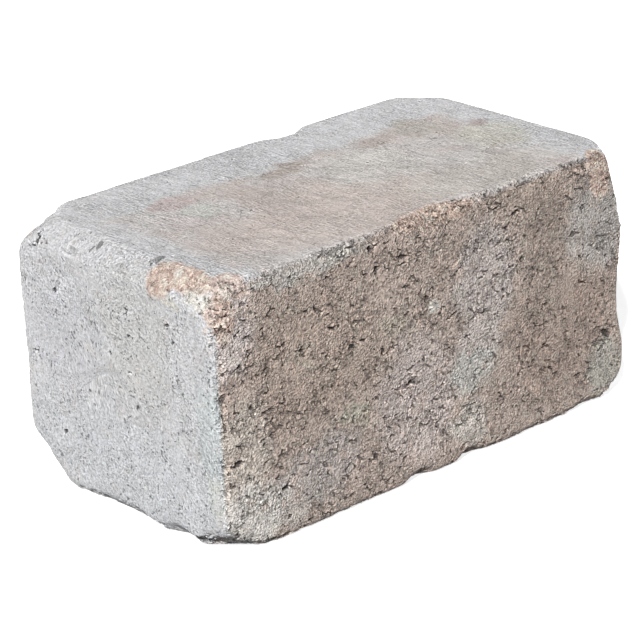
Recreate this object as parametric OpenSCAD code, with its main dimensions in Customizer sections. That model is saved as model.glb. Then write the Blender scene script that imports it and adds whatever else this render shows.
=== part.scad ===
// Tumbled concrete wall block, lying on its bed as it is laid.
// Millimetres. X runs along the block, Y from its front to its rear and Z up.
// The origin is the middle of the bottom bed. The near end is at -X and the front at -Y.

/* [Block] */
// Length along the wall
block_length = 305; // [220:1:420]
// Depth through the wall, front to rear
block_depth = 170; // [130:1:260]
// Height of one course
block_height = 152; // [110:1:220]

/* [Worn edges] */
// Radius that tumbling leaves on the four edges along the length
long_edge_radius = 7; // [4:0.5:16]
// Radius on the four edges that run from front to rear
cross_edge_radius = 8.5; // [4:0.5:16]
// Radius on the four upright edges
upright_edge_radius = 8; // [4:0.5:16]
// Flat worn along the near top edge: how far in from the end, and how far down
near_top_wear = [13, 9]; // [6:0.5:24]

/* [Broken corners] */
// Near front bottom corner: how far the break reaches along X, Y and Z
near_front_bottom = [33, 37, 19]; // [12:1:60]
// Near front top corner
near_front_top = [30, 26, 24]; // [12:1:60]
// Near rear bottom corner
near_rear_bottom = [27, 42, 33]; // [12:1:60]
// Near rear top corner
near_rear_top = [39, 32, 18]; // [12:1:60]
// Far front bottom corner
far_front_bottom = [20, 20, 20]; // [12:1:60]
// Far front top corner
far_front_top = [17, 27, 62]; // [12:1:80]
// Far rear bottom corner
far_rear_bottom = [34, 28, 30]; // [12:1:60]
// Far rear top corner
far_rear_top = [28, 34, 16]; // [12:1:60]

/* [Chipped edges] */
// Near bottom edge: how far its middle lies from the front, its length and its depth
near_bottom_chip = [40, 36, 8.5]; // [5:0.5:160]
// Near bottom edge further in: from the rear, length, depth
near_foot_chip = [82, 96, 6.5]; // [5:0.5:160]
// Front bottom edge: from the near end, length, depth
front_bottom_chip = [139, 28, 6.5]; // [5:0.5:160]
// Front bottom edge past its middle: from the far end, length, depth
middle_foot_chip = [126, 28, 6.5]; // [5:0.5:160]
// Front bottom edge towards the far end: from the far end, length, depth
far_foot_chip = [33, 26, 6]; // [5:0.5:160]
// Front top edge: from the far end, length, depth
front_top_chip = [143, 104, 6.5]; // [5:0.5:160]
// Rear top edge: from the far end, length, depth
rear_top_chip = [114, 40, 8]; // [5:0.5:160]
// Far front upright edge: from the bottom, length, depth
far_upright_chip = [62, 84, 7]; // [5:0.5:160]
// Far bottom edge: from the rear, length, depth
far_bottom_chip = [66, 64, 8]; // [5:0.5:160]
// Rear bottom edge: from the near end, length, depth
rear_bottom_chip = [118, 72, 8.5]; // [5:0.5:160]
// Far rear upright edge: from the top, length, depth
rear_upright_chip = [70, 64, 8]; // [5:0.5:160]

/* [Torn faces] */
// Distance between the middles of the shallow hollows in the front and the rear
hollow_pitch = 66; // [48:1:76]
// Width of the widest hollow
hollow_span = 70; // [30:1:72]
// Depth of the deepest hollow
hollow_depth = 1.5; // [0.4:0.1:2.5]

/* [Hidden] */
$fn = 96;
NEAR = -1;
FAR = 1;
FRONT = -1;
REAR = 1;
BOTTOM = -1;
TOP = 1;
// Seeds of the hollows in the two torn faces.
front_seed = 4;
rear_seed = 9;
// A half space is drawn as a cube this big, well past the block on every side.
reach = 2 * (block_length + block_depth + block_height);

// Point on the block's sharp outline, from -1 to 1 along each axis.
function outline_point(at) = [
    at.x * block_length / 2,
    at.y * block_depth / 2,
    (at.z + 1) * block_height / 2,
];

// Bar of the given length along Z, with a rounded rectangle for its section.
module rounded_bar(width, height, radius, length) {
    linear_extrude(length, center = true)
        union() {
            square([width - 2 * radius, height], center = true);
            square([width, height - 2 * radius], center = true);
            for (x = [-1, 1], y = [-1, 1])
                translate([x * (width / 2 - radius), y * (height / 2 - radius)])
                    circle(radius);
        }
}

// The moulded block with its twelve edges worn round.
module worn_blank() {
    translate([0, 0, block_height / 2])
        intersection() {
            rotate([90, 0, 90])
                rounded_bar(block_depth, block_height, long_edge_radius, block_length);
            rotate([90, 0, 0])
                rounded_bar(block_length, block_height, cross_edge_radius, block_depth);
            rounded_bar(block_length, block_depth, upright_edge_radius, block_height);
        }
}

// Everything past the plane that meets the three edges of a corner at the given legs.
module broken_corner(corner, legs) {
    out = [corner.x / legs.x, corner.y / legs.y, corner.z / legs.z];
    tilt = acos(out.z / norm(out));
    turn = atan2(out.y, out.x);
    translate(outline_point(corner) - [corner.x * legs.x, 0, 0])
        rotate([0, tilt, turn])
            translate([-reach / 2, -reach / 2, 0])
                cube(reach);
}

// Everything past the slope that tumbling wears along the near top edge.
module worn_near_top() {
    slope = atan2(near_top_wear.y, near_top_wear.x);
    translate(outline_point([NEAR, 0, TOP]) - [0, 0, near_top_wear.y])
        rotate([0, -slope, 0])
            translate([-reach / 2, -reach / 2, 0])
                cube(reach);
}

// Shell-shaped chip out of an edge. The edge is named by its two outward sides, and
// the chip's middle lies a distance along it from the named end.
module edge_chip(edge, from, chip) {
    span = chip[1];
    depth = chip[2];
    scoop = (span * span / 4 + depth * depth) / (2 * depth);
    translate(outline_point(edge + from) - from * chip[0] + edge / norm(edge) * (scoop - depth))
        sphere(scoop);
}

// Shallow hollows that tearing leaves in a long face. They lie in staggered rows, each a little
// off its place and with a width and depth of its own.
module torn_hollows(side, seed) {
    columns = floor(block_length / hollow_pitch);
    rows = floor(block_height / hollow_pitch);
    chance = rands(0, 1, 4 * rows * (columns + 1), seed);
    for (row = [0 : rows - 1], column = [0 : columns - row % 2]) {
        own = 4 * (row * (columns + 1) + column);
        span = hollow_span * (0.7 + 0.3 * chance[own]);
        depth = hollow_depth * (0.5 + 0.5 * chance[own + 1]);
        scoop = (span * span / 4 + depth * depth) / (2 * depth);
        x = (column - (columns - row % 2) / 2 + 0.3 * (chance[own + 2] - 0.5)) * hollow_pitch;
        z = (row - (rows - 1) / 2 + 0.3 * (chance[own + 3] - 0.5)) * hollow_pitch;
        translate([x, side * (block_depth / 2 + scoop - depth), block_height / 2 + z])
            sphere(scoop, $fn = 240);
    }
}

module wall_block() {
    color([0.66, 0.62, 0.58])
        difference() {
            worn_blank();
            worn_near_top();
            broken_corner([NEAR, FRONT, BOTTOM], near_front_bottom);
            broken_corner([NEAR, FRONT, TOP], near_front_top);
            broken_corner([NEAR, REAR, BOTTOM], near_rear_bottom);
            broken_corner([NEAR, REAR, TOP], near_rear_top);
            broken_corner([FAR, FRONT, BOTTOM], far_front_bottom);
            broken_corner([FAR, FRONT, TOP], far_front_top);
            broken_corner([FAR, REAR, BOTTOM], far_rear_bottom);
            broken_corner([FAR, REAR, TOP], far_rear_top);
            torn_hollows(FRONT, front_seed);
            torn_hollows(REAR, rear_seed);
            edge_chip([NEAR, 0, BOTTOM], [0, FRONT, 0], near_bottom_chip);
            edge_chip([NEAR, 0, BOTTOM], [0, REAR, 0], near_foot_chip);
            edge_chip([0, FRONT, BOTTOM], [NEAR, 0, 0], front_bottom_chip);
            edge_chip([0, FRONT, BOTTOM], [FAR, 0, 0], middle_foot_chip);
            edge_chip([0, FRONT, BOTTOM], [FAR, 0, 0], far_foot_chip);
            edge_chip([0, FRONT, TOP], [FAR, 0, 0], front_top_chip);
            edge_chip([0, REAR, TOP], [FAR, 0, 0], rear_top_chip);
            edge_chip([FAR, FRONT, 0], [0, 0, BOTTOM], far_upright_chip);
            edge_chip([FAR, 0, BOTTOM], [0, REAR, 0], far_bottom_chip);
            edge_chip([0, REAR, BOTTOM], [NEAR, 0, 0], rear_bottom_chip);
            edge_chip([FAR, REAR, 0], [0, 0, TOP], rear_upright_chip);
        }
}

wall_block();
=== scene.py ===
"""A tumbled concrete wall block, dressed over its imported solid. Metres, +Z up."""
import math

import bmesh
import bpy
from mathutils import Euler, Matrix, Vector


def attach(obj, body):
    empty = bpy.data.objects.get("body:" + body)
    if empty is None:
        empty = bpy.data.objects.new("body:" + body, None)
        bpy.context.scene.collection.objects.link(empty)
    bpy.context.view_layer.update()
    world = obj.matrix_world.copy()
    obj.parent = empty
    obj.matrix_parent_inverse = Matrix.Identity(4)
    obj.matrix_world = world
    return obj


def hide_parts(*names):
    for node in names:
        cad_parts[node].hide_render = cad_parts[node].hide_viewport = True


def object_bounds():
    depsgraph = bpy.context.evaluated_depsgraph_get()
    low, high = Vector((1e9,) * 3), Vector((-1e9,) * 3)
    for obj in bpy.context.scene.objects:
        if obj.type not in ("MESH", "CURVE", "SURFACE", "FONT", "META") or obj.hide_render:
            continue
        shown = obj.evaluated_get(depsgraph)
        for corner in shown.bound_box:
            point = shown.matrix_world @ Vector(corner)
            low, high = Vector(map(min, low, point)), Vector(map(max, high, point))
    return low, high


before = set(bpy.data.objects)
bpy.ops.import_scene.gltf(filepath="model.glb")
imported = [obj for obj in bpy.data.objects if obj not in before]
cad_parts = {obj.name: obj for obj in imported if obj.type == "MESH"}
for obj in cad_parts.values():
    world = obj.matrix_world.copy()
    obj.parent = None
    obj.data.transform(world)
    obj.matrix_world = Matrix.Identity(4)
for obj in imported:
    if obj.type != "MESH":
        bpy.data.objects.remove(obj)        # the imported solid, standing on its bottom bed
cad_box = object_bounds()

# ---------------------------------------------------------------- the block
# One casting of dry concrete. Its beds and ends slid along the mould and came out smooth, finely
# streaked from front to rear. Its long faces tore as it was stripped, and tumbling then broke its
# corners and crumbled its edges. All sizes below are in millimetres.
MM = 0.001
half_length, half_depth, height = (round(reach / MM, 1) for reach in cad_box[1])


class Field:
    """A number, vector or colour that a node tree works out. Arithmetic on it adds nodes there."""

    def __init__(self, tree, socket=None):
        self.tree = tree
        self.socket = socket

    def node(self, kind, settings=None, values=None, output=0):
        """Adds one node: its settings first, then the numbers or fields that its sockets take."""
        made = self.tree.nodes.new(kind)
        for name, value in (settings or {}).items():
            setattr(made, name, value)
        for key, value in (values or {}).items():
            shown = [socket for socket in made.inputs if socket.enabled]
            if isinstance(key, int):
                socket = shown[key]
            else:
                socket = next(s for s in shown if s.name == key)
            if isinstance(value, Field):
                self.tree.links.new(value.socket, socket)
            else:
                socket.default_value = value
        shown = [socket for socket in made.outputs if socket.enabled]
        return Field(self.tree, shown[output])

    def math(self, operation, *terms):
        values = dict(enumerate((self, *terms)))
        return self.node("ShaderNodeMath", {"operation": operation}, values)

    def vector_math(self, operation, *terms):
        values = dict(enumerate((self, *terms)))
        return self.node("ShaderNodeVectorMath", {"operation": operation}, values)

    def __add__(self, other):
        return self.math("ADD", other)

    def __sub__(self, other):
        return self.math("SUBTRACT", other)

    def __mul__(self, other):
        return self.math("MULTIPLY", other)

    def __rsub__(self, other):
        return self.node("ShaderNodeMath", {"operation": "SUBTRACT"}, {0: other, 1: self})

    def __abs__(self):
        return self.math("ABSOLUTE")

    __radd__ = __add__
    __rmul__ = __mul__

    def most(self, other):
        return self.math("MAXIMUM", other)

    def least(self, other):
        return self.math("MINIMUM", other)

    def rise(self, low, high):
        """0 below low, 1 above high and smooth between them. With low above high it falls."""
        return self.node("ShaderNodeMapRange", {"interpolation_type": "SMOOTHSTEP"},
                         {"Value": self, "From Min": low, "From Max": high})

    def moved(self, x, y, z):
        return self.vector_math("ADD", (x, y, z))

    def scaled(self, x, y, z):
        return self.vector_math("MULTIPLY", (x, y, z))

    def times(self, factor):
        """The whole vector or colour times one number."""
        return self.node("ShaderNodeVectorMath", {"operation": "SCALE"},
                         {"Vector": self, "Scale": factor})

    def part(self, axis):
        return self.node("ShaderNodeSeparateXYZ", {}, {0: self}, output=axis)

    def length(self):
        return self.vector_math("LENGTH")

    def reseeded(self, seed):
        """The spot moved far away, so that each seed draws a pattern of its own there."""
        return self.moved(171.3 * seed, 91.7 * seed, 237.1 * seed)

    def clouds(self, size, detail=0.0, roughness=0.5, seed=0, output=0):
        """Noise around 0.5 at a spot. Its lumps are a little smaller than size."""
        return self.node("ShaderNodeTexNoise", {},
                         {"Vector": self.reseeded(seed), "Scale": 1 / size,
                          "Detail": detail, "Roughness": roughness}, output)

    def astray(self, size, reach, seed):
        """The spot, led astray by up to about reach, so that what is drawn on it looks ragged."""
        stray = self.clouds(size, 3, 0.6, seed, output=1).moved(-0.5, -0.5, -0.5)
        return self.vector_math("ADD", stray.scaled(2 * reach, 2 * reach, 2 * reach))

    def cells(self, size, seed, feature="F1", output=0):
        """How far the spot is from the nearest stone of a scatter about size apart, as a share
        of size. With output 1 it is that stone's own random colour."""
        return self.node("ShaderNodeTexVoronoi", {"feature": feature},
                         {"Vector": self.reseeded(seed), "Scale": 1 / size}, output)

    def within(self, middle, reach):
        """How far out the spot lies in a patch with this middle and half sizes: 1 at its edge."""
        return self.moved(*(-m for m in middle)).scaled(*(1 / r for r in reach)).length()


smooth_below, torn_above = 0.1, 0.5     # how squarely a spot faces front or rear
pore_spacing, widest_pore = 6, 1.5


def torn_relief(spot, from_gouges):
    """How far the torn faces lie below their skin: pits, and crevices round the stones, that
    crowd together in some places, round the single pits too, and leave others plain."""
    crowd = (spot.clouds(12, 3, 0.55, seed=1) - 0.5) * 0.6 + from_gouges.rise(4.0, 1.0) * 0.1
    pits = spot.clouds(5.5, 5, 0.72, seed=2) + crowd * 0.5
    crumbs = spot.clouds(2.2, 3, 0.7, seed=3) + crowd * 0.5
    round_stones = spot.astray(4, 1.8, seed=4).cells(7, seed=5, feature="DISTANCE_TO_EDGE")
    open_round = (crowd + spot.clouds(5, 2, 0.6, seed=6)).rise(0.56, 0.6)
    crevices = round_stones.rise(0.09, 0.03) * open_round
    picked_out = pits.rise(0.575, 0.595) * 0.6 + pits.rise(0.65, 0.67) * 0.9
    return (picked_out + crumbs.rise(0.595, 0.635) * 0.7).most(crevices * 2.0)


def pores(spot):
    """1 inside the ragged pores that air left in the smooth faces. Some places have more."""
    crowd = spot.clouds(30, 2, 0.5, seed=16).rise(0.42, 0.66) * 0.85 + 0.15
    bubbles = spot.astray(2.5, 1.2, seed=16)
    radius = bubbles.cells(pore_spacing, seed=16, output=1).part(0) * crowd * widest_pore
    return (radius - bubbles.cells(pore_spacing, seed=16) * pore_spacing).rise(0.0, 0.25)


def rubble(spot, corners):
    """How deep the crumbled edges are picked out, the foot and the corners the most."""
    foot = spot.part(2).rise(16, 3)
    lumps = (spot.clouds(8, 5, 0.7, seed=12) - 0.3) * (foot * 3 + corners * 2 + 5)
    waves = (spot.clouds(24, 2, seed=17) - 0.5) * 7
    crumbs = spot.clouds(3, 3, 0.65, seed=13).rise(0.54, 0.6) * 1.4
    return lumps + waves + crumbs


# Single deep pits of the front: along from the middle, height, half length, half height.
front_pits = [
    (-22, 133, 3.2, 2), (-45, 144, 2, 1.6), (-41, 132, 2.6, 2.2), (-6, 105, 2, 1.8),
    (-60, 94, 3.4, 1.6), (-52, 96, 3, 1.2), (-73, 109, 2.4, 1.2), (-95, 103, 2.2, 1.2),
    (-122, 77, 2.6, 1.1), (-129, 82, 2, 1.4), (-138, 106, 5, 1.2), (-142, 54, 5.5, 1.7),
    (-84, 122, 1.3, 1.8), (67, 106, 1.4, 3), (11, 72, 2, 1.4), (38, 85, 2.2, 1.6),
    (-39, 85, 2, 1.2), (-19, 60, 4, 1), (48, 142, 2.6, 1.2), (63, 135, 3, 1.2),
    (135, 42, 4, 2.8), (-110, 30, 2.4, 1.2), (88, 36, 2.2, 1.2), (-46, 27, 2, 1.3),
    (25, 30, 1.8, 1.4),
]
# Those of the near end: from the middle towards the rear, height, half width, half height.
end_pits = [
    (-46, 124, 2.8, 1.3), (-15, 109, 2.6, 0.9), (-51, 115, 1.8, 1), (-13, 88, 1.9, 1),
    (24, 67, 1.3, 1.3), (-17, 69, 1.3, 1.3), (-13, 124, 1.3, 1.2), (49, 118, 1.4, 1.2),
    (55, 134, 1.7, 1), (70, 77, 2, 1.2), (48, 36, 2.2, 1.2), (3, 95, 1.5, 1),
]
# A hooked crack, and knocks at the corners: middle and half sizes.
corner_pits = [
    ((-152, 69, 138), (2, 2, 0.9)), ((-152, 65.5, 140), (2, 2, 0.9)),
    ((-152, 62.5, 142.5), (2, 1.2, 1.8)), ((-150, 62.5, 144.5), (2, 1.2, 1.8)),
    ((-146.5, 65, 146), (2, 1.8, 2)), ((-150, -60, 6), (5, 9, 4)),
    ((117, -83, 147), (2, 4, 4)), ((133, -81, 136), (2, 3, 2)),
]
pit_reach = 4       # half size of a single pit square to its face
front_skin, end_skin = 1 - half_depth, 0.5 - half_length    # where the pits' middles lie
gouges = ([((x, front_skin, z), (half_x, pit_reach, half_z))
           for x, z, half_x, half_z in front_pits]
          + [((end_skin, y, z), (pit_reach, half_y, half_z))
             for y, z, half_y, half_z in end_pits]
          + corner_pits)


def beyond_gouges(spot):
    """How far out the spot lies from the nearest single pit: 1 at that pit's ragged edge."""
    ragged = spot.astray(5, 3.2, seed=14).astray(1.5, 1.2, seed=44)
    nearest = None
    for middle, reach in gouges:
        here = ragged.within(middle, reach)
        nearest = here if nearest is None else nearest.least(here)
    return nearest


def weathering_tree():
    """Geometry Nodes that soften the block's creases and cut the relief into its skin."""
    tree = bpy.data.node_groups.new("weathering", "GeometryNodeTree")

    def new_input(name, kind, value=None):
        socket = tree.interface.new_socket(name, in_out="INPUT", socket_type=kind)
        if value is not None:
            socket.default_value = value
        return socket

    new_input("Block", "NodeSocketGeometry")
    for name, value in (("Tear depth", 0.85), ("Crumbling", 1.0), ("Edge fullness", 1.2),
                        ("Swell", 0.4), ("Skin", 0.2), ("Gouge depth", 2.2), ("Pore depth", 1.0)):
        new_input(name, "NodeSocketFloat", value)
    new_input("Softening passes", "NodeSocketInt", 130)
    new_input("Levelling passes", "NodeSocketInt", 10)
    finish = new_input("Concrete", "NodeSocketMaterial")
    tree.interface.new_socket("Weathered block", in_out="OUTPUT", socket_type="NodeSocketGeometry")
    given = {socket.name: Field(tree, socket)
             for socket in tree.nodes.new("NodeGroupInput").outputs}
    start = given["Block"]

    # Softened twice, and what the second softening takes off is put back, so that the block
    # doesn't shrink. The corners, which tumbling knocks the most, are softened more, and nothing
    # is put back there.
    position = start.node("GeometryNodeInputPosition")
    spot = position.scaled(1 / MM, 1 / MM, 1 / MM)
    x, y, z = (spot.moved(0, 0, -height / 2).part(axis) for axis in range(3))
    corners = abs(x).rise(112, 142) * abs(y).rise(45, 75) * abs(z).rise(36, 66)
    pull = corners * 0.65 + 0.35

    def softened(place):
        return start.node("GeometryNodeBlurAttribute", {"data_type": "FLOAT_VECTOR"},
                          {"Value": place, "Iterations": given["Softening passes"],
                           "Weight": pull})

    once = softened(position)
    regained = once.vector_math("SUBTRACT", softened(once)).times(1 - corners)
    rounded = once.vector_math("ADD", regained)
    smooth = start.node("GeometryNodeSetPosition", {}, {"Geometry": start, "Position": rounded})

    normal = start.node("GeometryNodeInputNormal")
    tilt = normal.vector_math("ABSOLUTE")
    endways, frontways, upways = (tilt.part(axis) for axis in range(3))
    unevenness = (spot.clouds(10, 4, 0.65, seed=11) - 0.5) * 0.5
    front_facing = frontways - endways * 0.45 + unevenness
    worn_edge = (1 - endways.most(frontways).most(upways)).rise(0.01, 0.12)

    from_gouges = beyond_gouges(spot)
    torn_face = front_facing.rise(smooth_below, torn_above)
    torn = torn_relief(spot, from_gouges) * given["Tear depth"] * torn_face
    crumbled = (rubble(spot, corners) * given["Crumbling"] - given["Edge fullness"]) * worn_edge
    bubbled = pores(spot) * (1 - torn_face)
    gouged = from_gouges.rise(1.0, 0.7) * given["Gouge depth"]
    depth = (given["Skin"] + (torn + crumbled).most(gouged)
             + spot.clouds(85, 1, seed=15) * given["Swell"] + bubbled * given["Pore depth"])
    around = start.node("GeometryNodeBlurAttribute", {"data_type": "FLOAT"},
                        {"Value": depth, "Iterations": given["Levelling passes"]})
    tagged = smooth
    for name, kind, value in (("front_facing", "FLOAT", front_facing),
                              ("worn_edge", "FLOAT", worn_edge),
                              ("hollow", "FLOAT", depth - around),
                              ("skin_spot", "FLOAT_VECTOR", spot)):
        tagged = tagged.node("GeometryNodeStoreNamedAttribute",
                             {"data_type": kind, "domain": "POINT"},
                             {"Geometry": tagged, "Name": name, "Value": value})
    inward = normal.times(depth * -MM)
    carved = tagged.node("GeometryNodeSetPosition", {}, {"Geometry": tagged, "Offset": inward})
    whole = carved.node("GeometryNodeRealizeInstances", {}, {"Geometry": carved})
    dressed = whole.node("GeometryNodeSetMaterial", {},
                         {"Geometry": whole, "Material": given["Concrete"]})
    tree.links.new(dressed.socket, tree.nodes.new("NodeGroupOutput").inputs[0])
    return tree, finish.identifier


def settled_mesh(body):
    """The mesh that a body's modifiers make of it. The modifiers are then taken off."""
    shown = body.evaluated_get(bpy.context.evaluated_depsgraph_get())
    mesh = bpy.data.meshes.new_from_object(shown)
    body.modifiers.clear()
    return mesh


# The concrete is grey cement over pink, buff and brown sand. The skin of the beds and ends is
# pale cement milk. The long faces show the sand, and knocks have laid it bare on the corners.
def paint(look):
    """A colour, written as it looks, as the linear colour that a shader takes."""
    parts = [int(look[i:i + 2], 16) / 255 for i in (0, 2, 4)]
    return (*(p / 12.92 if p <= 0.04045 else ((p + 0.055) / 1.055) ** 2.4 for p in parts), 1.0)


warm_milk, cool_milk, rim_milk = "BFB6B2", "C4C1BF", "C7C7C9"
torn_buff = "B7A79D"
dark_sand, pale_sand, bleached_sand = "B1978A", "D8C5B8", "D9D0C2"
cream_lime_and_painted_light, dark_stone = "D3CFC7", "6C6C6D"
# How far in from its face a stain of the front, the top or the near end reaches.
front_reach, top_reach, end_reach = 16, 14, 9
# Stains of the front: their middle from the near end and from the top, half length, half height
# and colour.
front_stains = [
    (65, 55, 50, 42, "B3A296"),
    (138, 102, 32, 42, "CABDB8"),
    (192, 48, 26, 32, "C2B8B4"),
    (186, 82, 18, 16, "CABFBA"),
    (180, 98, 17, 15, "C5C3BE"),
    (175, 130, 14, 14, "D8D0C8"),
    (66, 120, 32, 17, "B6ADA9"),
    (252, 98, 42, 42, "A69489"),
    (238, 45, 28, 44, "A6978D"),
    (92, 98, 10, 9, "B2AD9F"),
    (124, 56, 11, 9, "B5AA9C"),
    (12, 26, 16, 24, "D0C5C1"),
    (14, 94, 22, 28, "CFC5BB"),
    (18, 132, 34, 20, "D5D1CC"),
    (279, 42, 24, 30, "B2ADA9"),
    (225, 10, 30, 9, "A99A8F"),
    # A grey stain along the front's top edge, made lighter as painted light against the relief's
    # shade below the rim
    (62, 4, 46, 7, "BBB7B2"),
    (285, 128, 14, 16, "B0ADA4"),
]
# Stains of the top bed: from the near end and from the rear, half length, half depth.
top_stains = [
    (120, 128, 75, 44, "C3B7B1"),
    (72, 52, 16, 11, "BDAFAD"),
    (58, 74, 16, 12, "C9C1C1"),
    (148, 58, 20, 10, "ABA09A"),
    (106, 90, 12, 34, "B8ADA8"),
    (185, 88, 34, 30, "CAC6C2"),
    (270, 100, 24, 22, "C2C0B7"),
    (275, 78, 8, 8, "ADA09C"),
    (246, 62, 15, 18, "B3ADA6"),
    (215, 58, 18, 9, "B4AAA5"),
    (76, 72, 9, 10, "C4C4BE"),
    (215, 140, 50, 24, "C2BCB6"),
]
# Stains of the near end: from the rear and from the top, half depth, half height.
end_stains = [
    (102, 42, 32, 46, "C1C1C0"),
    (42, 58, 34, 36, "C3C3C7"),
    (85, 122, 85, 34, "C5C7CA"),
    (163, 74, 14, 34, "BEC3C4"),
    (164, 115, 8, 14, "C2C4C1"),
]
# Where knocks have bared the buff sand: middle and half sizes, and how much of it shows.
bared = [
    ((-145, -40, 145), (12, 12, 12), 1.0),
    ((-144, -56, 149), (11, 18, 6), 1.0),
    ((-145, -80, 135), (8, 9, 16), 0.9),
    ((-135, -76, 149), (10, 11, 7), 0.8),
    ((3, -80, 148.5), (32, 7, 7), 1.0),
    ((130, -82, 141), (9, 9, 18), 1.0),
]
# Where cream lime shows, and dark stones: middle and half sizes. The last lime patch, on the front
# just below its top edge, is painted light that lifts the relief's shade there.
lime_and_painted_light = [
    ((-148, -67, 142), (6, 11, 7)), ((-142, -47, 150), (4, 4, 4)), ((-152, -50, 137), (4, 9, 3)),
    ((-1, -85, 99), (4, 5, 5)), ((-66, -83, 147), (11, 5, 4)),
]
stones = [
    ((-143, 17.5, 149), (3.5, 2, 4)), ((-138, -26.5, 152), (4, 2.6, 4)),
    ((-146, 20.5, 147), (2.5, 1, 2.5)),
]


def concrete():
    """The block's material. It reads the spots and masks that the weathering stored on the skin."""
    material = bpy.data.materials.new("tumbled_concrete")
    material.use_nodes = True
    tree = material.node_tree
    tree.nodes.clear()

    def stored(name, output):
        return Field(tree).node("ShaderNodeAttribute", {"attribute_name": name}, output=output)

    spot = stored("skin_spot", output=1)
    front_facing, worn_edge, hollow = (stored(name, output=2)
                                       for name in ("front_facing", "worn_edge", "hollow"))
    torn_face = front_facing.rise(smooth_below, torn_above)
    ragged = spot.astray(12, 5, seed=51)
    upright_skin = abs(ragged.part(0)).rise(143, 151)
    top_skin = ragged.part(2).rise(141, 149)
    brown_face = (front_facing - top_skin * 0.4 - upright_skin * 0.2).rise(0.0, 0.5)

    def mix(factor, under, over):
        return spot.node("ShaderNodeMix", {"data_type": "RGBA"},
                         {"Factor": factor, "A": under, "B": over})

    def patches(where, places, full, gone):
        """How much of a spot lies in any of the places: 1 inside full, 0 beyond gone."""
        cover = None
        for middle, reach, *share in places:
            here = where.within(middle, reach).rise(gone, full) * (share[0] if share else 1.0)
            cover = here if cover is None else cover.most(here)
        return cover

    # the broad colours, then the stains, each fading out raggedly over its neighbours
    edgeways = spot.astray(16, 9, seed=29)
    along, through = abs(edgeways.part(0)), edgeways.part(1)
    warm = spot.clouds(45, 3, 0.55, seed=30).rise(0.42, 0.62)
    skin = mix(warm, paint(warm_milk), paint(cool_milk))
    skin = mix(along.rise(110, 128).most(through.rise(32, 44)), skin, paint(rim_milk))
    torn = paint(torn_buff)
    wide = spot.astray(30, 16, seed=31).astray(7, 5, seed=32)

    def stained(under, middle, reach, look):
        return mix(wide.within(middle, reach).rise(1.2, 0.65) * 0.85, under, paint(look))

    for x, z, half_x, half_z, look in front_stains:
        middle = (x - half_length, -half_depth, height - z)
        torn = stained(torn, middle, (half_x, front_reach, half_z), look)
    for size, seed, look in ((55, 54, "C2B8B4"), (40, 55, "A6998F"), (30, 56, "C0BCB6")):
        here = spot.clouds(size, 3, 0.55, seed).rise(0.44, 0.62)
        torn = mix(here * through.rise(60, 78) * 0.7, torn, paint(look))
    for x, y, half_x, half_y, look in top_stains:
        middle = (x - half_length, half_depth - y, height)
        skin = stained(skin, middle, (half_x, half_y, top_reach), look)
    for y, z, half_y, half_z, look in end_stains:
        middle = (-half_length, half_depth - y, height - z)
        skin = stained(skin, middle, (end_reach, half_y, half_z), look)
    colour = mix(brown_face, skin, torn)
    for size, seed, look, share in ((8, 33, "C9AF9F", 0.35), (6, 34, "A9AA9C", 0.3),
                                    (10, 35, "9C8E88", 0.3)):
        here = spot.clouds(size, 3, 0.6, seed).rise(0.52, 0.7)
        colour = mix(here * (brown_face * 0.6 + 0.4) * share, colour, paint(look))

    near = spot.astray(8, 4, seed=36).astray(2.5, 1.8, seed=43)
    open_sand = patches(near, bared, 0.85, 1.1)
    grains = spot.clouds(2.4, 3, 0.65, seed=37).rise(0.42, 0.6)
    sand = mix(grains, paint(dark_sand), paint(pale_sand))
    sand = mix(spot.clouds(7, 3, 0.6, seed=50).rise(0.52, 0.6) * 0.7, sand, paint(bleached_sand))
    colour = mix(open_sand * 0.9, colour, sand)
    # cream lime, and one patch of painted light lifting the relief's shade on the front
    colour = mix(patches(near, lime_and_painted_light, 0.6, 1.1) * 0.85, colour, paint(cream_lime_and_painted_light))
    stone = patches(spot.astray(3, 1.2, seed=45), stones, 0.8, 1.0)
    colour = mix(stone * 0.8, colour, paint(dark_stone))

    # the grain: sand and cavities on the torn faces, streaks and pinholes on the smooth ones
    smooth_face = (1 - torn_face) * (1 - worn_edge)
    bed = abs(spot.part(2) - height / 2).rise(66, 74) * smooth_face
    busy = spot.clouds(34, 2, 0.5, seed=41).rise(0.38, 0.62)
    from_gouges = beyond_gouges(spot)
    pits = from_gouges.rise(1.0, 0.75)
    cavities = torn_relief(spot, from_gouges) * torn_face
    crowd = (spot.clouds(12, 3, 0.55, seed=1) - 0.5) * 0.25
    nicks = (spot.clouds(3.0, 4, 0.7, seed=42) + crowd).rise(0.555, 0.59)
    nicks = nicks * (torn_face * 0.85 + 0.15)
    grit = spot.clouds(1.2, 1, 0.6, seed=21) - 0.5
    grainy = spot.clouds(9, 3, 0.6, seed=52).rise(0.4, 0.62) * 0.8 + 0.2
    streaks = spot.scaled(1, 0.14, 1).clouds(1.1, 2, 0.6, seed=38) - 0.5
    streaks = streaks * (busy * 0.9 + 0.35) * bed
    scrapes = (spot.scaled(1, 0.3, 1).clouds(4.5, 3, 0.6, seed=53) - 0.5) * bed
    crowded = (spot.clouds(14, 3, 0.6, seed=46) - 0.5) * 0.5
    pinholes = (spot.clouds(1.8, 2, 0.6, seed=39) + crowded).rise(0.65, 0.68) * (1 - bed * 0.6)
    holes = pinholes.most(pores(spot)) * (1 - torn_face)

    # how light each spot is: painted shade darkens low spots, cavities, pits, pinholes and hollows,
    # with some dirt in the hollows, a painted highlight lightens what stands proud, and crumbled
    # edges are a little darker
    # The grain: the sand's own speckle, darker where it lies low and lighter where it stands proud,
    # which is painted shade and painted highlight
    light = grit * (torn_face * 0.9 + busy * 0.5 + 1.1) + torn_face * 0.04 + bed * 0.05 + 0.92
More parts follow.
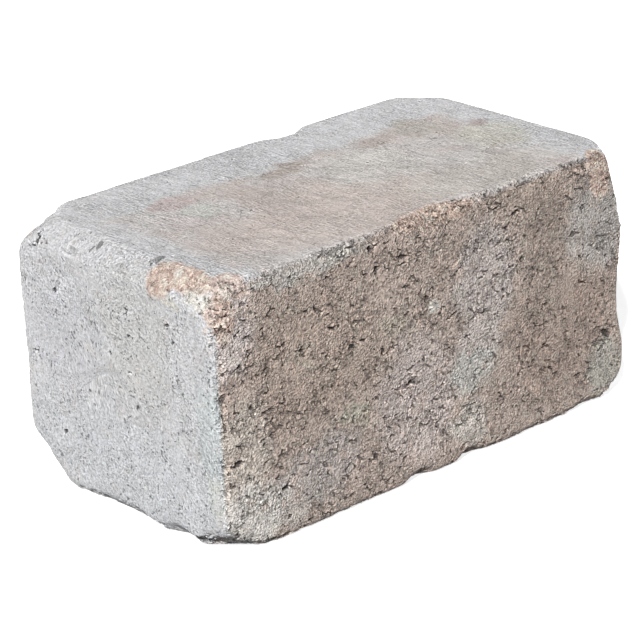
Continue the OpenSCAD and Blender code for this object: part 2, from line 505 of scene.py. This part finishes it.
    # Pinholes and pores are darkened with painted shade; streaks and scrapes are the skin's own
    # colour
    light = light * (1 - holes * 0.65) * (1 + streaks * 0.6) * (1 + scrapes * 0.45)
    # Cavities, nicks and the single pits are darkened with painted shade, the single pits the most
    light = light * (1 - cavities * 0.12) * (1 - nicks * 0.15) * (1 - pits * 0.75)
    # Crumbled edges a little darker; hollows darker, partly dirt and partly painted shade
    light = light * (1 - worn_edge * 0.1) * (1 - hollow.rise(0.0, 0.7) * 0.15)
    # Painted highlight on spots that stand proud of their surroundings
    light = light * (1 + hollow.rise(0.0, -0.6) * 0.2)
    # Painted light lifting the relief's shade on the front and rear next to the upright edges
    light = light * (1 + upright_skin * front_facing.rise(-0.1, 0.25) * 0.12)
    colour = colour.times(light)

    sunken = holes * 0.8 + stone * 0.6 - streaks * 1.2 - scrapes * 1.1
    sunken = sunken + cavities * 1.4 + nicks * 1.4 + pits
    proud = grit * (torn_face * grainy * 2.4 + worn_edge * 0.4 + busy * 0.4 + 0.6)
    bump = spot.node("ShaderNodeBump", {}, {"Strength": 1.0, "Distance": 1.0,
                                            "Height": (sunken - proud) * MM * -1})
    roughness = 0.95 - smooth_face * 0.05 - bed * 0.04 - stone * 0.15
    shader = spot.node("ShaderNodeBsdfPrincipled", {},
                       {"Base Color": colour, "Roughness": roughness, "Normal": bump})
    tree.links.new(shader.socket, tree.nodes.new("ShaderNodeOutputMaterial").inputs["Surface"])
    return material


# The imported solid's faces are welded into one skin, remeshed evenly, weathered and then thinned.
weld_gap = 0.001
skin_voxel = 0.6
most_triangles = 196_000

finish = concrete()
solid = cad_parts["wall_block"].data.copy()
loose = bmesh.new()
loose.from_mesh(solid)
bmesh.ops.remove_doubles(loose, verts=loose.verts, dist=weld_gap * MM)
loose.to_mesh(solid)
loose.free()
block = bpy.data.objects.new("tumbled_block", solid)
bpy.context.scene.collection.objects.link(block)
block.data.materials.clear()
block.data.materials.append(finish)

skin = block.modifiers.new("even skin", "REMESH")
skin.mode = "VOXEL"
skin.voxel_size = skin_voxel * MM
skin.use_smooth_shade = False
weather = block.modifiers.new("weathering", "NODES")
weather.node_group, finish_input = weathering_tree()
weather[finish_input] = finish
block.data = settled_mesh(block)
triangles = sum(len(face.vertices) - 2 for face in block.data.polygons)
thinning = block.modifiers.new("thinning", "DECIMATE")
thinning.ratio = most_triangles / triangles
thinning.use_collapse_triangulate = True
block.data = settled_mesh(block)
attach(block, "root")
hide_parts("wall_block")

# ---------------------------------------------------------------- floor, light and camera
# A pale studio floor, one lamp high to the left of the camera, two weaker ones low behind the
# block and past its far end, and even light from below and all round.
floor_reach = 9     # metres
floor_mesh = bpy.data.meshes.new("floor")
floor_mesh.from_pydata([(-floor_reach, -floor_reach, 0), (floor_reach, -floor_reach, 0),
                        (floor_reach, floor_reach, 0), (-floor_reach, floor_reach, 0)],
                       [], [(0, 1, 2, 3)])
floor = bpy.data.objects.new("floor", floor_mesh)
bpy.context.scene.collection.objects.link(floor)
floor_paint = bpy.data.materials.new("floor_paint")
floor_paint.use_nodes = True
floor_shader = floor_paint.node_tree.nodes["Principled BSDF"]
floor_shader.inputs["Base Color"].default_value = (0.93, 0.93, 0.93, 1)
floor_shader.inputs["Roughness"].default_value = 0.9
floor_shader.inputs["Emission Color"].default_value = (1, 1, 1, 1)
floor_shader.inputs["Emission Strength"].default_value = 0.75   # so that shadows stay pale
floor_mesh.materials.append(floor_paint)
floor.visible_diffuse = False   # the lights alone model the relief
floor.visible_shadow = False    # a soft light below stands for what the floor throws back

for name, direction, energy, softness in (("key_lamp", (-0.61, -0.49, 0.62), 5.3, 3),
                                          ("rear_fill", (0.05, 1, -0.1), 2.6, 20),
                                          ("far_fill", (1, 0.05, -0.1), 1.8, 20),
                                          ("floor_bounce", (-0.2, -0.3, -1), 0.4, 90)):
    light = bpy.data.lights.new(name, "SUN")
    light.energy = energy
    light.angle = math.radians(softness)
    lamp = bpy.data.objects.new(name, light)
    lamp.rotation_euler = Vector(direction).to_track_quat("Z", "Y").to_euler()
    bpy.context.scene.collection.objects.link(lamp)
world = bpy.data.worlds.new("studio")
world.use_nodes = True
world.node_tree.nodes["Background"].inputs["Color"].default_value = (1, 1, 1, 1)
world.node_tree.nodes["Background"].inputs["Strength"].default_value = 0.13
bpy.context.scene.world = world
bpy.context.scene.view_settings.view_transform = "Standard"

camera_azimuth = math.radians(-41)
camera_elevation = math.radians(22)
camera_roll = math.radians(-2.7)
camera_distance = 1.556
aim = Vector((-0.0084, 0, 0.0707))
lens = bpy.data.cameras.new("camera")
lens.sensor_width = 36
lens.lens = 157
camera = bpy.data.objects.new("camera", lens)
bpy.context.scene.collection.objects.link(camera)
turn = (Euler((math.pi / 2 - camera_elevation, 0, camera_azimuth)).to_matrix()
        @ Matrix.Rotation(camera_roll, 3, "Z"))
eye = aim + turn @ Vector((0, 0, camera_distance))
camera.matrix_world = Matrix.Translation(eye) @ turn.to_4x4()
bpy.context.scene.camera = camera
